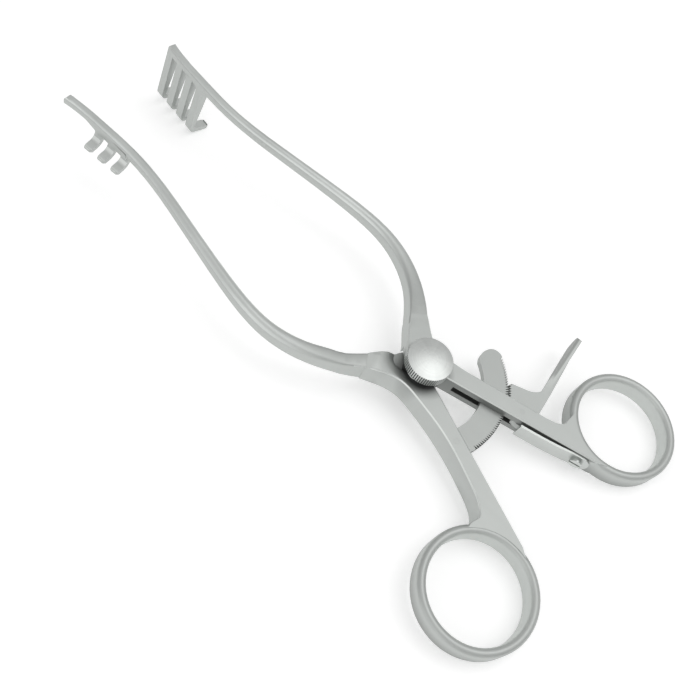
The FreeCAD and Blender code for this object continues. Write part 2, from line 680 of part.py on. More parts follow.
softened(spring, "springRound", strap, "<<dims>>.springTall * 0.46", endCorner)
hole = newSketch(spring, "springHole", "XZ_Plane", face)
disc(hole, "screwRad", extra=0.03)
bore = pocket(spring, "springBore", hole, "<<dims>>.springThick * 4")
bore.Midplane = True

# Slotted screw that holds the spring.
screw = doc.addObject("PartDesign::Body", "spring_screw")
screw.Label = "spring_screw"
headX, headY = shankPoint(seat - strip - 0.02, size("screwAlong"))
headFace = upright(headX, headY, turn + 90, size("thick") / 2.0)
round_ = newSketch(screw, "screwHeadRound", "XZ_Plane", headFace)
disc(round_, "screwHead")
head = pad(screw, "screwHead", round_, "<<dims>>.screwHigh", back=True)
rod = newSketch(screw, "screwRodRound", "XZ_Plane", headFace)
disc(rod, "screwRad")
pad(screw, "screwRod", rod, "<<dims>>.screwDeep")
capX, capY = shankPoint(seat - strip - 0.02 - size("screwHigh"), size("screwAlong"))
notchFace = upright(capX, capY, turn + 90, size("thick") / 2.0)
notch = newSketch(screw, "screwNotch", "XZ_Plane", notchFace)
notchHalf = size("screwHead") * 0.15
corners(notch, [(-3, -notchHalf), (3, -notchHalf), (3, notchHalf), (-3, notchHalf)])
pocket(screw, "screwNotchCut", notch, "<<dims>>.screwHigh * 0.5", back=True)

# Knurled thumb screw through both halves of the joint.
knob = doc.addObject("PartDesign::Body", "pivot_screw")
knob.Label = "pivot_screw"
half = newSketch(knob, "pivotHalf", "XZ_Plane", upright(0, 0, 0))
baseZ = size("thick") + 0.05
collarTop = baseZ + size("collarTall")
rim = collarTop + size("knobTall") - size("knobDome")
wide = size("knobRad")
soft = size("knobSoft")
domeTop = collarTop + size("knobTall")
domeRad = (wide ** 2 + size("knobDome") ** 2) / (2 * size("knobDome"))
domeMid = (wide / 2.0, domeTop - domeRad + math.sqrt(domeRad ** 2 - wide ** 2 / 4.0))
outline(half, [
    ((0, 0), (size("stemRad") - 0.3, 0)),
    ((size("stemRad") - 0.3, 0), (size("stemRad"), 0.3)),
    ((size("stemRad"), 0.3), (size("stemRad"), baseZ)),
    ((size("stemRad"), baseZ), (size("collarRad"), baseZ)),
    ((size("collarRad"), baseZ), (size("collarRad"), collarTop)),
    ((size("collarRad"), collarTop), (wide - soft, collarTop)),
    ((wide - soft, collarTop), (wide, collarTop + soft)),
    ((wide, collarTop + soft), (wide, rim)),
    ((wide, rim), domeMid, (0, domeTop)),
    ((0, domeTop), (0, 0)),
])
turned(knob, "pivotTurned", half)
doc.recompute()

nodes = [left, right, arc, rivet, lever, pin, spring, screw, knob]
for item in doc.Objects:
    state = [word for word in item.State if word in ("Invalid", "Error")]
    if state:
        raise RuntimeError("%s is %s" % (item.Name, state))
for body in nodes:
    shape = body.Shape
    if shape.isNull() or not shape.isValid():
        raise RuntimeError(body.Label + " has no valid shape")
    shape.exportStep("parts/%s.step" % body.Label)
    box = shape.BoundBox
    print("%-14s %8.1f mm3  solids %d  faces %d  x %.1f..%.1f y %.1f..%.1f z %.1f..%.1f" % (
        body.Label, shape.Volume, len(shape.Solids), len(shape.Faces),
        box.XMin, box.XMax, box.YMin, box.YMax, box.ZMin, box.ZMax))
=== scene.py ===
import math
import bpy
import bmesh
from mathutils import Matrix, Vector


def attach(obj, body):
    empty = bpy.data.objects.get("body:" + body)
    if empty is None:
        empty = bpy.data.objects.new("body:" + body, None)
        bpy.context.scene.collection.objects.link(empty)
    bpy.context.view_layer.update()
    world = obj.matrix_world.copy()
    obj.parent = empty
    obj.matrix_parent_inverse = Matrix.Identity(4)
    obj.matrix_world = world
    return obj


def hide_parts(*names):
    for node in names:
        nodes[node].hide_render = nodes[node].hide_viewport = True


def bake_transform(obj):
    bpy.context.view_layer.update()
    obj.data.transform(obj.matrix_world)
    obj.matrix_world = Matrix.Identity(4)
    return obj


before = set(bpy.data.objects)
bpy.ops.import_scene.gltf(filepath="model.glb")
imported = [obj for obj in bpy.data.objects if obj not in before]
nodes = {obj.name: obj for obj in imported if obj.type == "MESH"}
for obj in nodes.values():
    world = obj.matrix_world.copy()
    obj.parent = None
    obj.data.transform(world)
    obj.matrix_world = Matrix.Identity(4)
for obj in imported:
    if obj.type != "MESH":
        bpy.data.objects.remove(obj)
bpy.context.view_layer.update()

# The scene is in metres: the pivot axis is Z, the tips point along +Y, the lever's arm is on +X.
# Sizes of the pieces are written in millimetres, those of the floor, lights and camera in metres.
mm = 0.001
shankTurn = math.radians(18.6)  # lean of the right shank, and of all that sits on it
squareOn = 0.9  # a face looks a certain way when this much of its normal does
mergeGap = {"skin": 0.001, "shaped": 0.0005}  # points closer than this, in millimetres, become one
print("stage: frame loaded")


# Small helpers for modelling
def clearSelection():
    if bpy.context.object and bpy.context.object.mode != "OBJECT":
        bpy.ops.object.mode_set(mode="OBJECT")
    bpy.ops.object.select_all(action="DESELECT")


def openMesh(piece):
    clearSelection()
    piece.select_set(True)
    bpy.context.view_layer.objects.active = piece
    bpy.ops.object.mode_set(mode="EDIT")
    bpy.ops.mesh.select_all(action="DESELECT")


def mergePoints(gap):
    bpy.ops.mesh.select_all(action="SELECT")
    bpy.ops.mesh.remove_doubles(threshold=gap * mm)


def closeMesh(piece, name, smoothAngle):
    mergePoints(mergeGap["shaped"])
    bpy.ops.mesh.normals_make_consistent(inside=False)
    bpy.ops.object.mode_set(mode="OBJECT")
    piece.name = name
    piece.data.name = name
    bpy.ops.object.transform_apply(location=True, rotation=True, scale=True)
    bpy.ops.object.shade_smooth_by_angle(angle=math.radians(smoothAngle))
    clearSelection()


def pick(piece, kind, wanted):
    # kind is "verts", "edges" or "faces"; wanted is given the middle of each in millimetres
    # and its normal, or for an edge its run
    bpy.ops.mesh.select_mode(type={"verts": "VERT", "edges": "EDGE", "faces": "FACE"}[kind])
    bpy.ops.mesh.select_all(action="DESELECT")
    shape = bmesh.from_edit_mesh(piece.data)
    for item in getattr(shape, kind):
        if kind == "verts":
            middle, facing = item.co, item.normal
        elif kind == "edges":
            first, last = item.verts
            middle, facing = (first.co + last.co) / 2, last.co - first.co
        else:
            middle, facing = item.calc_center_median(), item.normal
        item.select_set(bool(wanted(middle / mm, facing)))
    shape.select_flush_mode()
    bmesh.update_edit_mesh(piece.data)


def skinOf(node, name, smoothAngle):
    # a merged, smoothly shaded copy that stands for the plain node
    clearSelection()
    source = nodes[node]
    skin = source.copy()
    skin.data = source.data.copy()
    for key in list(skin.keys()):
        del skin[key]
    skin.parent = None
    bpy.context.scene.collection.objects.link(skin)
    openMesh(skin)
    mergePoints(mergeGap["skin"])
    bpy.ops.mesh.customdata_custom_splitnormals_clear()
    bpy.ops.object.mode_set(mode="OBJECT")
    skin.name = name
    skin.data.name = name
    bpy.ops.object.shade_smooth_by_angle(angle=math.radians(smoothAngle))
    clearSelection()
    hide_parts(node)
    return skin


def reshape(skin, smoothAngle, wanted, change):
    # moves the chosen points of a skin by one operator
    openMesh(skin)
    pick(skin, "verts", wanted)
    change()
    closeMesh(skin, skin.name, smoothAngle)


def spread(factor, centre=(0, 0, 0)):
    # draws points in or out, level with the floor, from a centre in millimetres
    middle = tuple(value * mm for value in centre)
    return lambda: bpy.ops.transform.resize(value=(factor, factor, 1), center_override=middle)


def dress(piece, paint):
    piece.data.materials.clear()
    piece.data.materials.append(paint)


def finishPiece(piece, body, paint):
    dress(piece, paint)
    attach(piece, body)


def tinge(piece, paint, wanted):
    # gives the chosen faces a material of their own; here these carry painted shade or painted highlights
    piece.data.materials.append(paint)
    openMesh(piece)
    pick(piece, "faces", wanted)
    piece.active_material_index = len(piece.data.materials) - 1
    bpy.ops.object.material_slot_assign()
    bpy.ops.object.mode_set(mode="OBJECT")
    clearSelection()


# Places on the right shank: across it from the pivot's axis, and along it towards the ring
def acrossShank(m):
    return m.x * math.cos(shankTurn) + m.y * math.sin(shankTurn)


def alongShank(m):
    return m.x * math.sin(shankTurn) - m.y * math.cos(shankTurn)


def shankPlace(across, along):
    return Vector((across * math.cos(shankTurn) + along * math.sin(shankTurn),
                   across * math.sin(shankTurn) - along * math.cos(shankTurn), 0.0)) * mm


# Shader maths as plain expressions
class Wire:
    def __init__(self, paint, socket):
        self.paint = paint
        self.socket = socket

    def maths(self, operation, *others):
        return self.paint.add("ShaderNodeMath", {"operation": operation}, dict(enumerate((self,) + others)))

    def __add__(self, other):
        return self.maths("ADD", other)

    def __radd__(self, other):
        return self.maths("ADD", other)

    def __sub__(self, other):
        return self.maths("SUBTRACT", other)

    def __rsub__(self, other):
        return self.paint.add("ShaderNodeMath", {"operation": "SUBTRACT"}, {0: other, 1: self})

    def __mul__(self, other):
        return self.maths("MULTIPLY", other)

    def __rmul__(self, other):
        return self.maths("MULTIPLY", other)

    def __truediv__(self, other):
        return self.maths("DIVIDE", other)

    def __pow__(self, other):
        return self.maths("POWER", other)

    def output(self, key):
        # another output of the node that this one comes from
        return Wire(self.paint, self.socket.node.outputs[key])

    def clamped(self, low=0.0, high=1.0):
        return self.paint.add("ShaderNodeClamp", {}, {"Value": self, "Min": low, "Max": high})


class Paint:
    def __init__(self, name, world=None):
        self.material = world or bpy.data.materials.new(name)
        self.material.use_nodes = True
        self.tree = self.material.node_tree
        self.tree.nodes.clear()

    def add(self, kind, settings=None, inputs=None, output=0):
        node = self.tree.nodes.new(kind)
        for key, value in (settings or {}).items():
            setattr(node, key, value)
        for key, value in (inputs or {}).items():
            if isinstance(value, Wire):
                self.tree.links.new(value.socket, node.inputs[key])
            else:
                node.inputs[key].default_value = value
        return Wire(self, node.outputs[output]) if len(node.outputs) else None

    def place(self, kind="Object"):
        return self.add("ShaderNodeTexCoord", output=kind)

    def axes(self, place):
        split = self.add("ShaderNodeSeparateXYZ", {}, {0: place})
        return split, split.output("Y"), split.output("Z")

    def noise(self, place, scale, detail=2.0, rough=0.5):
        settings = {"noise_dimensions": "3D"}
        values = {"Vector": place, "Scale": scale, "Detail": detail, "Roughness": rough}
        return self.add("ShaderNodeTexNoise", settings, values)

    def stretched(self, place, turn, scale):
        values = {"Vector": place, "Rotation": turn, "Scale": scale}
        return self.add("ShaderNodeMapping", {"vector_type": "POINT"}, values)

    def mixed(self, factor, first, second, blend="MIX"):
        # sockets 6 and 7 and output 2 are the node's colours
        settings = {"data_type": "RGBA", "blend_type": blend}
        return self.add("ShaderNodeMix", settings, {0: factor, 6: first, 7: second}, output=2)

    def shaded(self, colour, factor, first, second):
        # the colour times a mix of two greys
        return self.mixed(1.0, colour, self.mixed(factor, grey(first), grey(second)), "MULTIPLY")

    def bump(self, height, strength, distance):
        values = {"Height": height, "Strength": strength, "Distance": distance}
        return self.add("ShaderNodeBump", {}, values)

    def finish(self, inputs):
        shader = self.add("ShaderNodeBsdfPrincipled", {"distribution": "MULTI_GGX"}, inputs)
        self.add("ShaderNodeOutputMaterial", {}, {"Surface": shader})
        return self.material


def grey(level, warm=0.0):
    # a warm below 0 tints the grey a little green
    return (level * (1.0 + warm), level, level * (1.0 + warm * 0.8), 1.0)


def awayFrom(x, y, centre):
    # distance from an upright axis, whose place is in millimetres
    across = x - centre[0] * mm
    along = y - centre[1] * mm
    return (across * across + along * along) ** 0.5


def rising(value, low, high):
    # 0 below low, 1 above high, with both in millimetres
    return ((value - low * mm) * (1.0 / ((high - low) * mm))).clamped()


# Bead-blasted steel of the forged arms, the plate, the lever and the small pieces
blastLook = {
    "tone": 0.60, "toneLow": 0.53, "warm": -0.035, "rough": 0.54, "roughSpread": 0.10,
    "grain": 5200.0, "grainDepth": 0.012, "grainTone": 0.93, "blotch": 90.0, "stroke": (900.0, 60.0, 900.0),
    "shares": (0.5, 0.3, 0.2), "base": 0.30, "contrast": 2.4, "bump": 0.5, "bumpShares": (0.7, 0.3),
}


def blastedSteel(name, turn, tone=1.0, look=blastLook, paintedMarks=()):
    # turn is the way of the grinding strokes; each painted mark paints light or shade into the colour, and
    # changes the colour and roughness in places
    paint = Paint(name)
    place = paint.place()
    grain = paint.noise(place, look["grain"], 2.0, 0.6)
    blotch = paint.noise(place, look["blotch"], 4.0, 0.55)
    wide = paint.noise(place, look["blotch"] * 0.3, 2.0, 0.5)
    strokes = paint.noise(paint.stretched(place, (0.0, 0.0, turn), look["stroke"]), 1.0, 3.0, 0.6)
    small, large, stroked = look["shares"]
    shade = (blotch * small + wide * large + strokes * stroked - look["base"]) * look["contrast"]
    colour = paint.mixed(shade.clamped(), grey(look["toneLow"] * tone, look["warm"]),
                         grey(look["tone"] * tone, look["warm"]))
    colour = paint.shaded(colour, grain, look["grainTone"], 1.0)
    rough = look["rough"] + (strokes - 0.5) * look["roughSpread"] + (blotch - 0.5) * look["roughSpread"]
    for paintedMark in paintedMarks:
        colour, rough = paintedMark(paint, place, colour, rough)
    grained, scratched = look["bumpShares"]
    normal = paint.bump(grain * grained + strokes * scratched, look["bump"], look["grainDepth"] * mm)
    return paint.finish({"Base Color": colour, "Metallic": 1.0, "Roughness": rough, "Normal": normal})


# Lathe-turned steel, with fine rings and soft rays about an upright axis
turnedLook = {
    "tone": 0.74, "toneLow": 0.58, "warm": -0.03, "rough": 0.40, "roughSpread": 0.14,
    "rings": 5200.0, "ringWave": 0.9, "ringRise": 260.0, "ringDepth": 0.008, "grain": 4200.0,
    "rays": 3.2, "rayFade": 60.0, "rayShare": 0.4, "axisGap": 0.05, "base": 0.30, "contrast": 2.4,
    "bump": 0.5, "bumpShares": (0.8, 0.2),
    "grooveShade": 0.05, "grooveGain": 1.3, "grooveGap": 0.02, "grooveSharp": 1e6, "topSharp": 1e5,
}


def turnedSteel(name, rim, groove, top, look=turnedLook):
    # inside the rim radius and below the top the tone falls to the groove's painted shade, towards the groove
    # radius
    paint = Paint(name)
    place = paint.place()
    x, y, high = paint.axes(place)
    radius = awayFrom(x, y, (0.0, 0.0))
    reach = radius + look["axisGap"] * mm
    sine = y / reach
    cosine = x / reach
    ringPlace = paint.add("ShaderNodeCombineXYZ", {}, {
        0: radius * look["rings"], 1: sine * look["ringWave"],
        2: cosine * look["ringWave"] + high * look["ringRise"]})
    rings = paint.noise(ringPlace, 1.0, 3.0, 0.65)
    rayPlace = paint.add("ShaderNodeCombineXYZ", {}, {
        0: sine * look["rays"], 1: cosine * look["rays"], 2: radius * look["rayFade"]})
    rays = paint.noise(rayPlace, 1.0, 3.0, 0.6)
    grain = paint.noise(place, look["grain"], 2.0, 0.6)
    share = look["rayShare"]
    shade = (rings * (1.0 - share) + rays * share - look["base"]) * look["contrast"]
    colour = paint.mixed(shade.clamped(), grey(look["toneLow"], look["warm"]),
                         grey(look["tone"], look["warm"]))
    # painted shade deep in the knurl's grooves
    deep = ((rim * mm - radius) * (look["grooveGain"] / ((rim - groove) * mm))).clamped()
    outer = ((radius - (groove - look["grooveGap"]) * mm) * look["grooveSharp"]).clamped()
    below = ((top * mm - high) * look["topSharp"]).clamped()
    colour = paint.shaded(colour, deep * (outer * below), 1.0, look["grooveShade"])
    rough = look["rough"] + (rings - 0.5) * look["roughSpread"]
    ringed, grained = look["bumpShares"]
    normal = paint.bump(rings * ringed + grain * grained, look["bump"], look["ringDepth"] * mm)
    return paint.finish({"Base Color": colour, "Metallic": 1.0, "Roughness": rough, "Normal": normal})


print("stage: helpers and finishes ready")

# Forged arms: copies of the solids, shaped in a few places and with a finish for each kind of surface; some
# of these finishes are painted shade or painted highlights
armLook = {
    "smooth": 38.0,
    # painted shade round the pivot, under the knob
    "pivot": {"centre": (-0.9, -0.6), "near": 6.0, "far": 9.6, "tone": 0.22, "fade": 0.7},
    # painted shade on the rings' outer walls and painted light in their bores
    "ring": {"centre": (36.3, -53.1), "bore": 15.1, "outer": 16.6, "end": 19.5, "high": 5.5,
             "bright": 1.16, "dark": 0.62, "sharp": 2500.0, "endSharp": 1500.0},
    # painted highlight on the chamfered rim of the top faces
    "edge": {"low": 7.1, "high": 7.49, "flat": 0.88, "steep": 0.50, "behind": 13.0,
             "steel": {"tone": 0.84, "toneLow": 0.74, "rough": 0.36}},
    # painted shade inside the slot
    "slot": {"low": 2.55, "high": 4.85, "gap": 0.02,
             "steel": {"tone": 0.14, "toneLow": 0.08, "rough": 0.70}},
    # painted shade on the lap pocket's floor
    "lap": {"top": 3.70, "gap": 0.06,
            "steel": {"tone": 0.46, "toneLow": 0.36}},
    # painted shade on the right shank's inner wall
    "wall": {"from": 6.0, "to": 54.0, "off": 1.2,
             "steel": {"tone": 0.36, "toneLow": 0.30, "rough": 0.5}},
    # painted highlight on the blades' crests, faded near the pivot
    "crest": {"from": 15.0, "up": 0.55, "plainTo": 20.0, "fullFrom": 46.0, "plain": 0.74, "dull": 0.14,
              "steel": {"tone": 0.82, "toneLow": 0.68, "rough": 0.40}},
    "root": {"facing": (0.5, 0.866), "offFrom": 7.5, "offTo": 12.0, "from": -15.5, "to": -2.2,
             "press": 1.15, "reach": 6.0},
    "ends": {"from": 100.0, "clawLow": -1.45, "prongLow": -14.8, "facing": 0.8,
             "steps": [(0.16, 0.30), (0.30, 0.24)]},
}


def pivotShade(paint, place, colour, rough):
    # painted shade: the colour darkens close round the pivot, as under the knob's shadow
    look = armLook["pivot"]
    x, y = paint.axes(place)[:2]
    share = rising(awayFrom(x, y, look["centre"]), look["near"], look["far"])
    return paint.shaded(colour, share ** look["fade"], look["tone"], 1.0), rough


def ringShadeAndLight(paint, place, colour, rough):
    # painted shade and light: the rings' outer walls are painted darker towards the underside, and their
    # bores painted brighter
    look = armLook["ring"]
    x, y, high = paint.axes(place)
    away = awayFrom(x.maths("ABSOLUTE"), y, look["centre"])
    bore = ((look["bore"] * mm - away) * look["sharp"] + 1.0).clamped()
    outer = ((away - look["outer"] * mm) * look["sharp"]).clamped()
    end = ((look["end"] * mm - away) * look["endSharp"]).clamped()
    low = ((look["high"] * mm - high) * (1.0 / (look["high"] * mm))).clamped()
    colour = paint.shaded(colour, bore, 1.0, look["bright"])
    return paint.shaded(colour, outer * end * low, 1.0, look["dark"]), rough


def crestHighlightFade(paint, place, colour, rough):
    # near the pivot the crest's painted highlight fades out, and the crest is as dull as the rest
    look = armLook["crest"]
    share = rising(paint.axes(place)[1], look["plainTo"], look["fullFrom"])
    return paint.shaded(colour, share, look["plain"], 1.0), rough + (1.0 - share) * look["dull"]


def onEdge(m, n):
    # rim of the top faces, up to the blades, smoother and painted brighter as a highlight
    look = armLook["edge"]
    return look["low"] < m.z < look["high"] and look["steep"] < n.z < look["flat"] and m.y < look["behind"]


def inSlot(m, n):
    # floor, roof and blind end of the slot in the right shank, which get painted shade
    look = armLook["slot"]
    nearest = min(abs(m.z - look["low"]), abs(m.z - look["high"]))
    level = abs(n.z) > squareOn and nearest < look["gap"]
    end = look["low"] < m.z < look["high"] and alongShank(n) > squareOn and m.y < 0.0
    return level or end


def onWall(m, n):
    # inner side of the right shank, which gets painted shade
    look = armLook["wall"]
    inside = look["from"] < alongShank(m) < look["to"] and acrossShank(m) < look["off"]
    return inside and acrossShank(n) < -squareOn


def onLap(m, n):
    # floor of the left arm's lap pocket, which gets painted shade beside the knob
    return n.z > squareOn and abs(m.z - armLook["lap"]["top"]) < armLook["lap"]["gap"]


def onCrest(m, n):
    # rounded upper side of the blades, which gets a painted highlight
    return m.y > armLook["crest"]["from"] and n.z > armLook["crest"]["up"]


def atRoot(m, n):
    # inner edge of the left blade's root, which is a little slimmer than the solid
    look = armLook["root"]
    off = m.x * look["facing"][0] + m.y * look["facing"][1]
    return look["from"] < m.x < look["to"] and look["offFrom"] < off < look["offTo"]


def pressRoot():
    look = armLook["root"]
    press = -look["press"] * mm
    bpy.ops.transform.translate(value=(press * look["facing"][0], press * look["facing"][1], 0),
                                use_proportional_edit=True, proportional_edit_falloff="SMOOTH",
                                proportional_size=look["reach"] * mm)


def onClawEnd(m, n):
    look = armLook["ends"]
    return m.y > look["from"] and m.z < look["clawLow"] and n.x < -look["facing"]


def onProngEnd(m, n):
    look = armLook["ends"]
    return m.y > look["from"] and m.z < look["prongLow"] and n.x > look["facing"]


def roundEnds(skin, wanted, side):
    # blunt, rounded ends in two steps; side is the way that they point along X
    openMesh(skin)
    pick(skin, "faces", wanted)
    for inward, outward in armLook["ends"]["steps"]:
        bpy.ops.mesh.inset(thickness=inward * mm)
        bpy.ops.transform.translate(value=(side * outward * mm, 0, 0))
    closeMesh(skin, skin.name, armLook["smooth"])


def armSteel(part, name, turn, paintedMarks=()):
    return blastedSteel(name, turn, look=dict(blastLook, **armLook[part]["steel"]), paintedMarks=paintedMarks)


# painted highlights for crests and edges, painted shade for the lap floor, the shank's inner wall and the
# slot
crestHighlightSteel = armSteel("crest", "crestHighlightSteel", 0.0, [crestHighlightFade])
edgeHighlightSteel = armSteel("edge", "edgeHighlight", 0.0)
lapShadeSteel = armSteel("lap", "lapShadeSteel", shankTurn)
wallShadeSteel = armSteel("wall", "wallShadeSteel", shankTurn)
recessShadeSteel = armSteel("slot", "recessShadeSteel", shankTurn)

leftSkin = skinOf("left_arm", "leftArmSkin", armLook["smooth"])
reshape(leftSkin, armLook["smooth"], atRoot, pressRoot)
roundEnds(leftSkin, onClawEnd, -1)
# the colour carries painted shade round the pivot and on the rings' outer walls, and painted light in the
# bores
finishPiece(leftSkin, "left", blastedSteel("blastedLeftArm", -shankTurn, paintedMarks=[pivotShade, ringShadeAndLight]))
for steel, wanted in ((crestHighlightSteel, onCrest), (edgeHighlightSteel, onEdge), (lapShadeSteel, onLap)):
    tinge(leftSkin, steel, wanted)

rightSkin = skinOf("right_arm", "rightArmSkin", armLook["smooth"])
roundEnds(rightSkin, onProngEnd, 1)
# the colour carries painted shade round the pivot and on the rings' outer walls, and painted light in the
# bores
finishPiece(rightSkin, "right", blastedSteel("blastedRightArm", shankTurn, paintedMarks=[pivotShade, ringShadeAndLight]))
for steel, wanted in ((crestHighlightSteel, onCrest), (edgeHighlightSteel, onEdge), (wallShadeSteel, onWall), (recessShadeSteel, inSlot)):
    tinge(rightSkin, steel, wanted)
print("stage: arms made")

# Release lever: its plate runs out into the pad, its heel stays low, and its pawl is cut deep
leverLook = {
    "smooth": 30.0, "strokes": math.radians(-70.0), "tone": 0.98,
    "plate": {"from": 32.5, "to": 35.3, "side": -28.6, "middle": 3.7, "half": 1.15,
              "end": (44.0, -27.66, 0.0), "shrink": 0.001},
    "heel": {"from": 33.4, "to": 35.2, "back": 0.6},
    "pawl": {"root": 28.05, "band": 0.35, "middle": 28.27, "newRoot": 28.6, "inside": 20.5},
    "pad": {"centre": (26.0, -29.7), "turn": math.radians(9.6), "start": 31.0, "shade": 0.62,
            "sharp": 4000.0, "bias": 0.3, "startSharp": 400.0},
}


def padShade(paint, place, colour, rough):
    # painted shade: one side of the pad is painted darker, as if its face were turned from the light
    look = leverLook["pad"]
    x, y = paint.axes(place)[:2]
    across = x - look["centre"][0] * mm
    along = y - look["centre"][1] * mm
    off = along * math.cos(look["turn"]) - across * math.sin(look["turn"])
    side = (off * look["sharp"] + look["bias"]).clamped()
    start = ((x - look["start"] * mm) * look["startSharp"]).clamped()
    return paint.shaded(colour, side * start, 1.0, look["shade"]), rough


def atPlateEnd(m, n):
    look = leverLook["plate"]
    return look["from"] < m.x < look["to"] and m.y < look["side"] and abs(m.z - look["middle"]) < look["half"]


def atHeel(m, n):
    return leverLook["heel"]["from"] < alongShank(m) < leverLook["heel"]["to"] and acrossShank(m) < 0.0


def lowerHeel():
    bpy.ops.transform.translate(value=shankPlace(leverLook["heel"]["back"], 0.0))


def atPawlRoot(m, n):
    look = leverLook["pawl"]
    return look["root"] < math.hypot(m.x, m.y) < look["root"] + look["band"] and m.x < look["inside"]


leverSkin = skinOf("release_lever", "releaseLeverSkin", leverLook["smooth"])
plate = leverLook["plate"]
pawl = leverLook["pawl"]
reshape(leverSkin, leverLook["smooth"], atPlateEnd, spread(plate["shrink"], plate["end"]))
reshape(leverSkin, leverLook["smooth"], atHeel, lowerHeel)
reshape(leverSkin, leverLook["smooth"], atPawlRoot, spread(pawl["newRoot"] / pawl["middle"]))
# the lever's colour carries painted shade on one side of the pad
finishPiece(leverSkin, "lever", blastedSteel("blastedLever", leverLook["strokes"], leverLook["tone"],
                                             paintedMarks=[padShade]))
print("stage: release lever made")

# Ratchet arc: the gaps between its teeth are cut deeper, and the teeth's upright faces get painted shade
arcLook = {
    "smooth": 25.0, "strokes": math.radians(40.0), "tone": 0.93,
    "gapRoot": 27.0, "gapDeep": 26.45, "gapBand": 0.04, "lastTooth": 61.0, "toothFrom": 26.9, "upright": 0.3,
}


def atGapRoot(m, n):
    away = math.hypot(m.x, m.y)
    angle = math.degrees(math.atan2(m.x, -m.y))
    return abs(away - arcLook["gapRoot"]) < arcLook["gapBand"] and angle < arcLook["lastTooth"]


def onTeeth(m, n):
    return abs(n.z) < arcLook["upright"] and math.hypot(m.x, m.y) > arcLook["toothFrom"]


arcSkin = skinOf("ratchet_arc", "ratchetArcSkin", arcLook["smooth"])
reshape(arcSkin, arcLook["smooth"], atGapRoot, spread(arcLook["gapDeep"] / arcLook["gapRoot"]))
finishPiece(arcSkin, "left", blastedSteel("blastedArc", arcLook["strokes"], arcLook["tone"]))
# painted shade on the upright faces of the teeth
tinge(arcSkin, recessShadeSteel, onTeeth)
print("stage: ratchet arc made")

# Rivet of the arc and hinge pin of the lever
pinLook = {
    "smooth": 30.0, "tone": 0.97,
    "pins": [("ratchet_rivet", "ratchetRivetSkin", "left", "blastedRivet"),
             ("lever_pin", "leverPinSkin", "right", "blastedPin")],
}
for node, name, body, steel in pinLook["pins"]:
    pinSkin = skinOf(node, name, pinLook["smooth"])
    finishPiece(pinSkin, body, blastedSteel(steel, 0.0, pinLook["tone"]))
print("stage: rivet and hinge pin made")

# Knurled thumb screw
knobLook = {
    "smooth": 24.0, "ridges": 64, "ridgePoints": 4, "ridgeDeep": 0.36, "radius": 7.0,
    "headLow": 9.35, "rim": 12.70, "dome": 13.64, "domeRings": 10, "domeEnd": 0.25, "chamfer": 0.14,
    "collarRad": 4.6, "collarLow": 7.55, "stemRad": 2.5, "stemEnd": 0.3, "stemTaper": 0.88,
    "near": 0.001, "axisNear": 0.01, "grooveTop": 12.55,
}


def extrudeUp(rise):
    bpy.ops.mesh.extrude_region_move(TRANSFORM_OT_translate={"value": (0, 0, rise * mm)})


def buildKnob(look):
    clearSelection()
    points = look["ridges"] * look["ridgePoints"]
    top, low, side = look["rim"], look["headLow"], look["radius"]
    bpy.ops.mesh.primitive_cylinder_add(vertices=points, radius=side * mm, depth=(top - low) * mm,
                                        location=(0, 0, (top + low) / 2 * mm))
    knob = bpy.context.object
    bpy.ops.object.transform_apply(location=True, rotation=True, scale=True)
    openMesh(knob)

    def onCap(level, way):
        # flat end in the middle of the head, at a height
        return lambda m, n: (n.z * way > squareOn and abs(m.z - level) < look["near"]
                             and math.hypot(m.x, m.y) < look["axisNear"])

    def onRim(level):
        return lambda m, n: abs(m.z - level) < look["near"] and math.hypot(m.x, m.y) > side - look["near"]

    # shoulders above and below the knurl
    for level, way in ((top, 1), (low, -1)):
        pick(knob, "faces", onCap(level, way))
        bpy.ops.mesh.inset(thickness=look["chamfer"] * mm)
        pick(knob, "verts", onRim(level))
        bpy.ops.transform.translate(value=(0, 0, -way * look["chamfer"] * mm))

    # crowned top, ring by ring
    flatRad = side - look["chamfer"]
    rise = look["dome"] - top
    bend = (flatRad ** 2 + rise ** 2) / (2 * rise)
    reach, height = flatRad, 0.0
    pick(knob, "faces", onCap(top, 1))
    for ring in range(1, look["domeRings"] + 1):
        nextReach = flatRad * (1 - ring / (look["domeRings"] + look["domeEnd"]))
        nextHeight = rise - (bend - math.sqrt(bend ** 2 - nextReach ** 2))
        extrudeUp(nextHeight - height)
        spread(nextReach / reach)()
        reach, height = nextReach, nextHeight

    # collar and stem below the head
    pick(knob, "faces", onCap(low, -1))
    bpy.ops.mesh.inset(thickness=(flatRad - look["collarRad"]) * mm)
    extrudeUp(look["collarLow"] - low)
    bpy.ops.mesh.inset(thickness=(look["collarRad"] - look["stemRad"]) * mm)
    extrudeUp(look["stemEnd"] - look["collarLow"])
    extrudeUp(-look["stemEnd"])
    spread(look["stemTaper"])()

    # straight knurl: the line of points in the middle of each gap is drawn in
    def inGroove(m, n):
        step = round(math.atan2(m.y, m.x) / (2 * math.pi) * points)
        middle = look["ridgePoints"] // 2
        return math.hypot(m.x, m.y) > side - look["near"] and step % look["ridgePoints"] == middle

    pick(knob, "verts", inGroove)
    spread(1 - look["ridgeDeep"] / side)()
    closeMesh(knob, "pivotScrewKnurled", look["smooth"])
    return knob


knob = buildKnob(knobLook)
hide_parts("pivot_screw")
finishPiece(knob, "screw", turnedSteel("turnedKnob", knobLook["radius"],
                                       knobLook["radius"] - knobLook["ridgeDeep"], knobLook["grooveTop"]))
print("stage: thumb screw made")

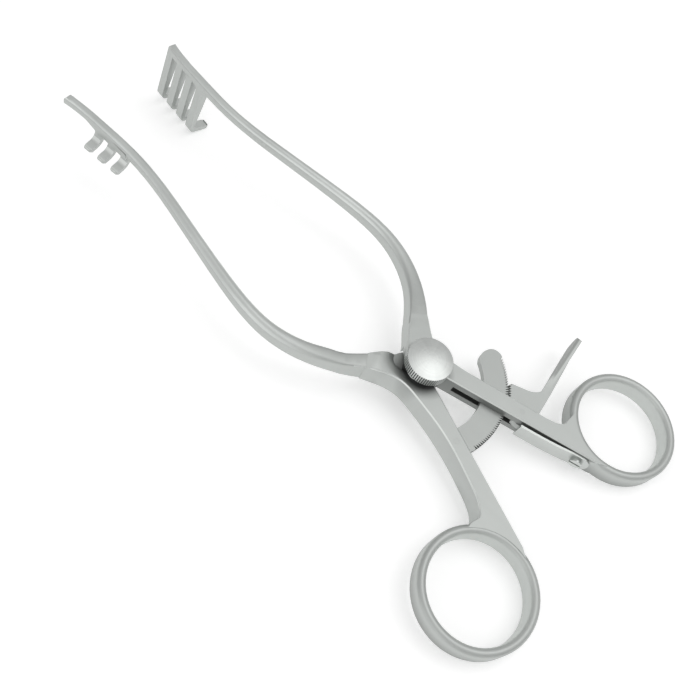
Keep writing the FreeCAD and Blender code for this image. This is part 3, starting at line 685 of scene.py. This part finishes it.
# Leaf spring: a thin strip from its screw to the heel of the lever
springLook = {
    "smooth": 30.0, "seat": 0.48, "thick": 0.7, "tall": 5.8, "middle": 3.75, "endRound": 2.5, "endParts": 7,
    "near": 0.01, "level": 0.1,
    "path": [(56.5, 0), (54.5, 0), (52.7, 0), (51.4, 0), (50.4, -0.04), (49, -0.24), (47.2, -0.42),
             (45.2, -0.56), (43, -0.67), (40.8, -0.74), (38.6, -0.78), (36.6, -0.79), (34.8, -0.78),
             (33, -0.75)],
    "bendFrom": (0.2, 49.0), "bendTo": (-0.6, 33.0),
    "tone": 1.05, "steel": {"rough": 0.34, "grainDepth": 0.004},
}


def buildSpring(look):
    # the path lists places along the shank, each with how far the strip bows out there
    clearSelection()
    seat = look["seat"] - look["thick"] / 2
    places = [shankPlace(seat + off, along) for along, off in look["path"]]
    bpy.ops.mesh.primitive_plane_add(size=1.0, location=(places[0].x, places[0].y, look["middle"] * mm),
                                     rotation=(math.radians(90), 0, shankTurn))
    strip = bpy.context.object
    strip.scale = (look["thick"] * mm, look["tall"] * mm, 1.0)
    bpy.ops.object.transform_apply(location=True, rotation=True, scale=True)
    openMesh(strip)
    bpy.ops.mesh.select_all(action="SELECT")
    for here, there in zip(places, places[1:]):
        bpy.ops.mesh.extrude_region_move(TRANSFORM_OT_translate={"value": there - here})

    def farCorner(m, n):
        # short level edges at the screw's end, whose bevel rounds its two corners
        return alongShank(m) > look["path"][0][0] - look["near"] and abs(n.normalized().z) < look["level"]

    pick(strip, "edges", farCorner)
    bpy.ops.mesh.bevel(offset=look["endRound"] * mm, segments=look["endParts"], affect="EDGES")
    closeMesh(strip, "leafSpringStrip", look["smooth"])
    return strip


spring = buildSpring(springLook)
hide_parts("leaf_spring")
dress(spring, blastedSteel("springSteel", shankTurn, springLook["tone"],
                           dict(blastLook, **springLook["steel"])))
tuple(shankPlace(*springLook["bendFrom"]))
tuple(shankPlace(*springLook["bendTo"]))
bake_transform(spring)
print("stage: leaf spring made")

# Screw of the leaf spring
screwLook = {"smooth": 30.0, "tone": 1.08, "steel": {"rough": 0.3}}
screwSkin = skinOf("spring_screw", "springScrewSkin", screwLook["smooth"])
finishPiece(screwSkin, "right", blastedSteel("screwSteel", 0.0, screwLook["tone"],
                                             dict(blastLook, **screwLook["steel"])))
print("stage: spring screw made")

# Floor: the flat card the instrument lies on, which slopes down from the rings to the hooks
floorLook = {"size": 9.0, "parts": 8, "ringEdge": -0.071, "slope": -0.0953, "colour": 0.90, "glow": 0.34}


def buildFloor(look):
    clearSelection()
    bpy.ops.mesh.primitive_grid_add(x_subdivisions=look["parts"], y_subdivisions=look["parts"],
                                    size=look["size"], location=(0, look["ringEdge"], 0),
                                    rotation=(math.atan(look["slope"]), 0, 0))
    floor = bpy.context.object
    floor.name = "floorCard"
    bpy.ops.object.transform_apply(location=True, rotation=True, scale=True)
    paint = Paint("paleCard")
    base = paint.add("ShaderNodeBsdfDiffuse", {}, {"Color": grey(look["colour"])})
    glow = paint.add("ShaderNodeEmission", {}, {"Color": grey(1.0), "Strength": look["glow"]})
    both = paint.add("ShaderNodeAddShader", {}, {0: base, 1: glow})
    seen = paint.add("ShaderNodeLightPath")
    share = (seen + seen.output("Is Glossy Ray") + seen.output("Is Transmission Ray")).clamped()
    shown = paint.add("ShaderNodeMixShader", {}, {0: share, 1: base, 2: both})
    paint.add("ShaderNodeOutputMaterial", {}, {"Surface": shown})
    floor.data.materials.append(paint.material)


buildFloor(floorLook)

# Soft studio light: a pale room and two broad panels, each with its place, width and power
lightLook = {
    "room": 0.58, "roomLow": 0.48, "horizon": 0.25, "climb": 1.4, "aim": (0, 0.03, 0),
    "panels": [("keyPanel", (0.30, -0.18, 1.0), 0.8, 2.9), ("sidePanel", (-0.9, 0.1, 0.5), 1.0, 1.7)],
}


def buildLights(look):
    world = bpy.data.worlds.new("studioRoom")
    bpy.context.scene.world = world
    room = Paint("studioRoom", world)
    high = room.axes(room.place("Generated"))[2]
    share = (high * look["climb"] + look["horizon"]).clamped()
    colour = room.mixed(share, grey(look["roomLow"]), grey(look["room"]))
    back = room.add("ShaderNodeBackground", {}, {"Color": colour, "Strength": 1.0})
    room.add("ShaderNodeOutputWorld", {}, {"Surface": back})
    for name, place, wide, power in look["panels"]:
        lamp = bpy.data.lights.new(name, "AREA")
        lamp.shape = "SQUARE"
        lamp.size = wide
        lamp.energy = power
        panel = bpy.data.objects.new(name, lamp)
        panel.location = place
        panel.rotation_mode = "QUATERNION"
        panel.rotation_quaternion = (Vector(look["aim"]) - Vector(place)).to_track_quat("-Z", "Y")
        bpy.context.scene.collection.objects.link(panel)


buildLights(lightLook)

# Camera above the handle side, looking down along the arms
cameraLook = {
    "place": (-0.1432, -0.0222, 0.2260), "lens": 46.286, "sensor": 36.0, "clip": (0.005, 20.0),
    "right": (0.6697, -0.69208, 0.26932), "up": (0.54651, 0.70484, 0.45225),
    "back": (-0.50281, -0.15569, 0.85026),
}


def buildCamera(look):
    data = bpy.data.cameras.new("studioCamera")
    data.lens = look["lens"]
    data.sensor_width = look["sensor"]
    data.clip_start, data.clip_end = look["clip"]
    camera = bpy.data.objects.new("studioCamera", data)
    bpy.context.scene.collection.objects.link(camera)
    turn = Matrix((look["right"], look["up"], look["back"])).transposed()
    camera.matrix_world = Matrix.Translation(Vector(look["place"])) @ turn.to_4x4()
    bpy.context.scene.camera = camera


buildCamera(cameraLook)
bpy.context.scene.view_settings.view_transform = "Standard"
print("stage: floor, lights and camera placed")
